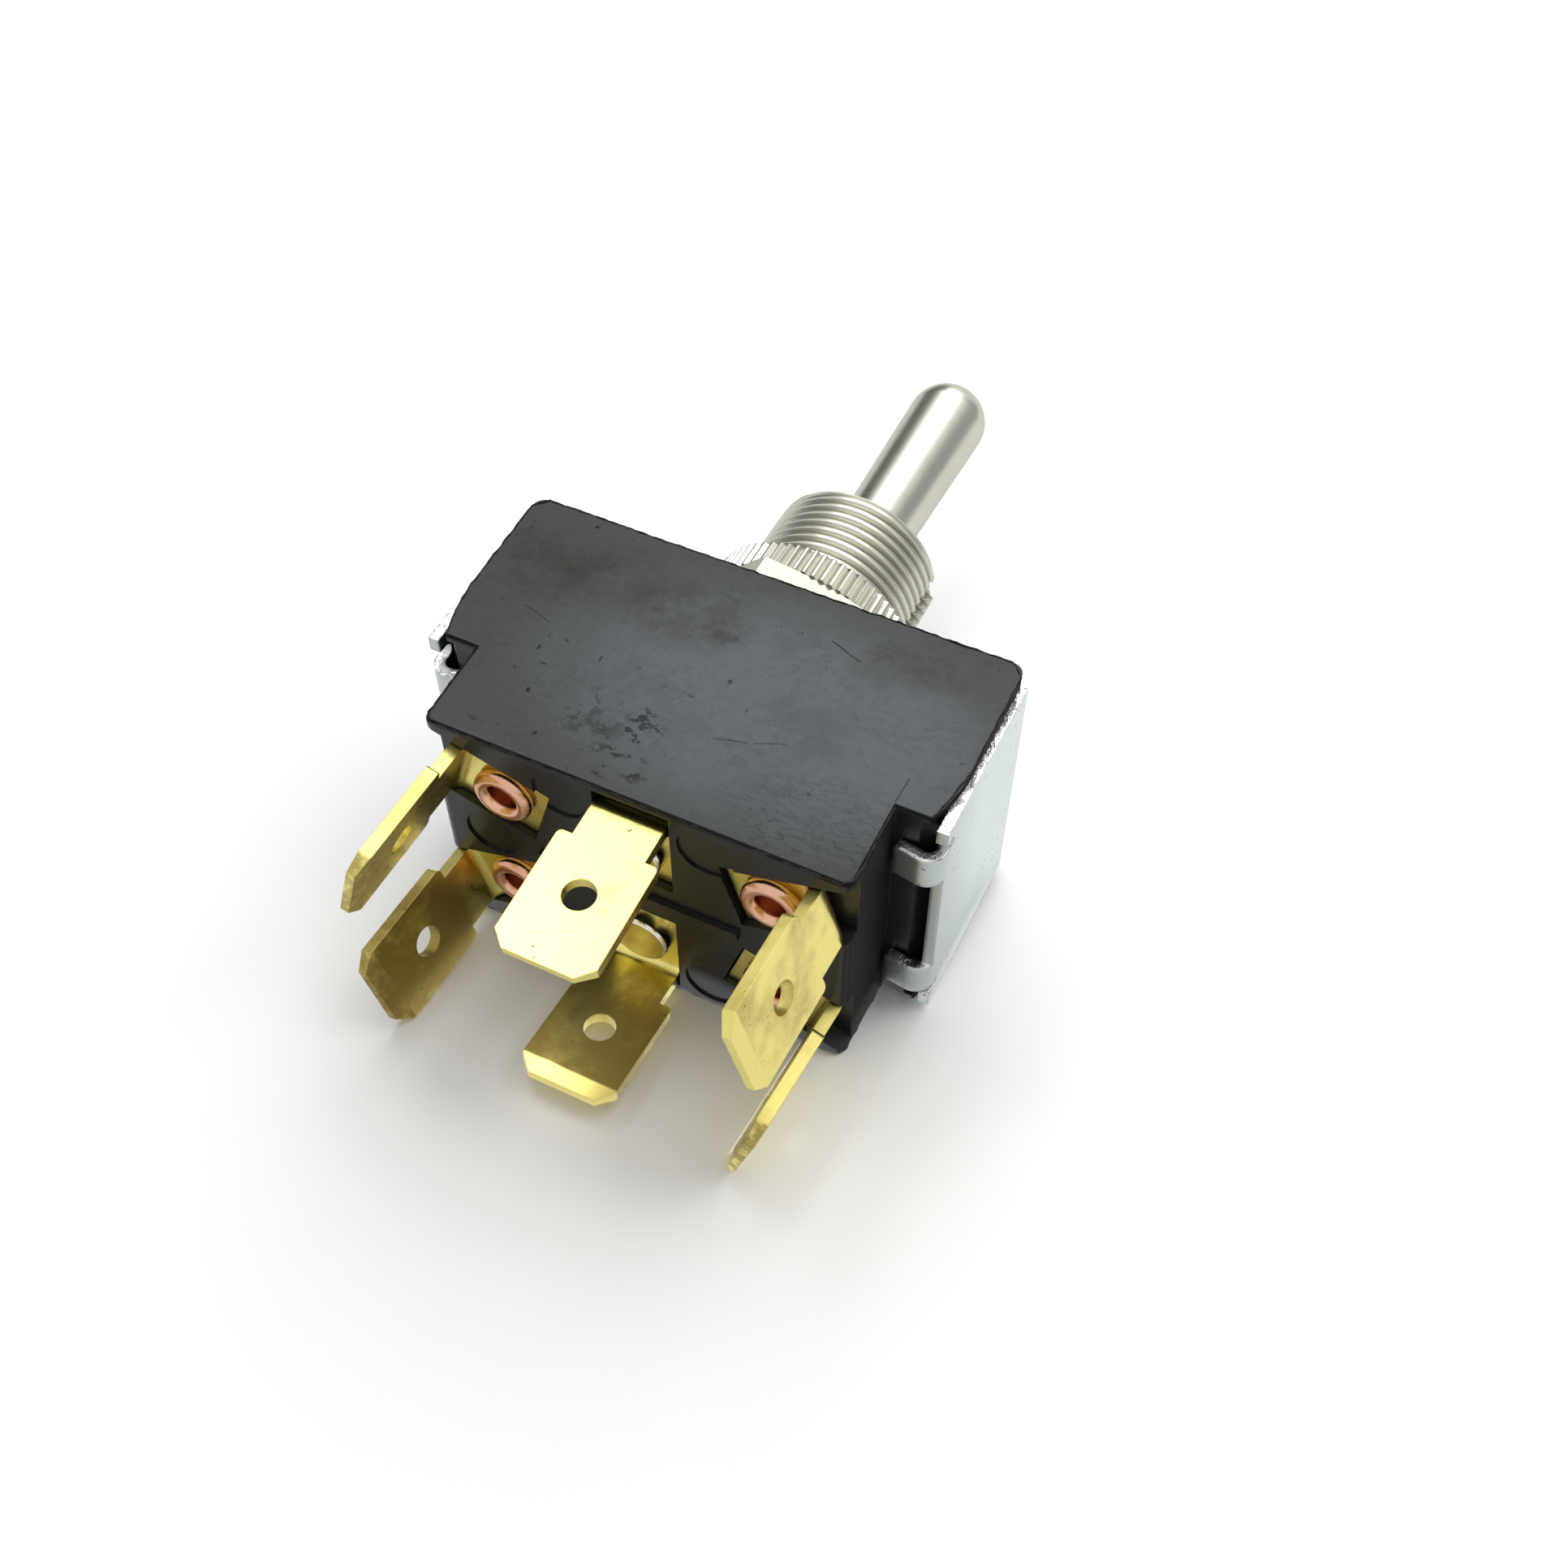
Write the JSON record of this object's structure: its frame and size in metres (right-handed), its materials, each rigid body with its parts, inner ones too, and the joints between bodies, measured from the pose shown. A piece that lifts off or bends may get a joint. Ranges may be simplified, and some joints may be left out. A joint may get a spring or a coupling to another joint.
{
  "type": "panel toggle switch",
  "caption": "Toggle switch with a straight bat lever, threaded panel bushing and nuts, moulded body in a steel strap and bent blade terminals.",
  "frame": {"origin": "on the bushing axis, where the free thread starts just above the knurled nut", "axes": "+Z along the bushing towards the lever tip, +X along the long side of the body and the lever's throw, -Y out of the front broad face"},
  "size_m": [0.0338, 0.0198, 0.0603],
  "materials": {
    "phenolic": "dark moulded phenolic, slightly glossy",
    "zinc_steel": "zinc plated sheet, satin",
    "nickel_plate": "satin nickel plate",
    "brass": "bare stamped brass, tarnished in places",
    "contact_metal": "copper",
    "rivet_metal": "nickel plated",
    "spring_steel": "drawn wire",
    "moulded_block": "moulded"
  },
  "bodies": {
    "case": {"base_housing": "phenolic", "steel_frame": "zinc_steel", "bushing": "nickel_plate", "hex_nut": "nickel_plate", "knurled_nut": "nickel_plate", "contact_rivets": "contact_metal", "pivot_rivets": "rivet_metal", "terminal_front_left": "brass", "terminal_front_middle": "brass", "terminal_front_right": "brass", "terminal_back_left": "brass", "terminal_back_middle": "brass", "terminal_back_right": "brass"},
    "lever": {"lever": "nickel_plate", "lever_pin": "spring_steel", "actuator_block": "moulded_block", "spring_front": "spring_steel", "spring_back": "spring_steel"},
    "plunger_front": {"plunger_front": "moulded_block"},
    "plunger_back": {"plunger_back": "moulded_block"},
    "rocker_front": {"rocker_front": "contact_metal"},
    "rocker_back": {"rocker_back": "contact_metal"}
  },
  "joints": [
    {"name": "lever_tilt", "type": "hinge", "parent": "case", "child": "lever", "pos_m": [0, 0, 0.001], "axis": [0, 1, 0], "range_deg": [-13, 13]},
    {"name": "plunger_front_slide", "type": "slide", "parent": "lever", "child": "plunger_front", "axis": [0, 0, 1], "range_m": [0, 0.0006], "stiffness_N_per_m": 200, "deforming": ["spring_front"]},
    {"name": "plunger_back_slide", "type": "slide", "parent": "lever", "child": "plunger_back", "axis": [0, 0, 1], "range_m": [0, 0.0006], "stiffness_N_per_m": 200, "deforming": ["spring_back"]},
    {"name": "rocker_front_tilt", "type": "hinge", "parent": "case", "child": "rocker_front", "pos_m": [0, -0.00435, -0.01794], "axis": [0, 1, 0], "range_deg": [-8, 8]},
    {"name": "rocker_back_tilt", "type": "hinge", "parent": "case", "child": "rocker_back", "pos_m": [0, 0.00435, -0.01794], "axis": [0, 1, 0], "range_deg": [-8, 8]}
  ],
  "couplings": [
    {"joint": "rocker_front_tilt", "follows": "lever_tilt", "ratio": -0.575},
    {"joint": "rocker_back_tilt", "follows": "lever_tilt", "ratio": -0.575}
  ]
}
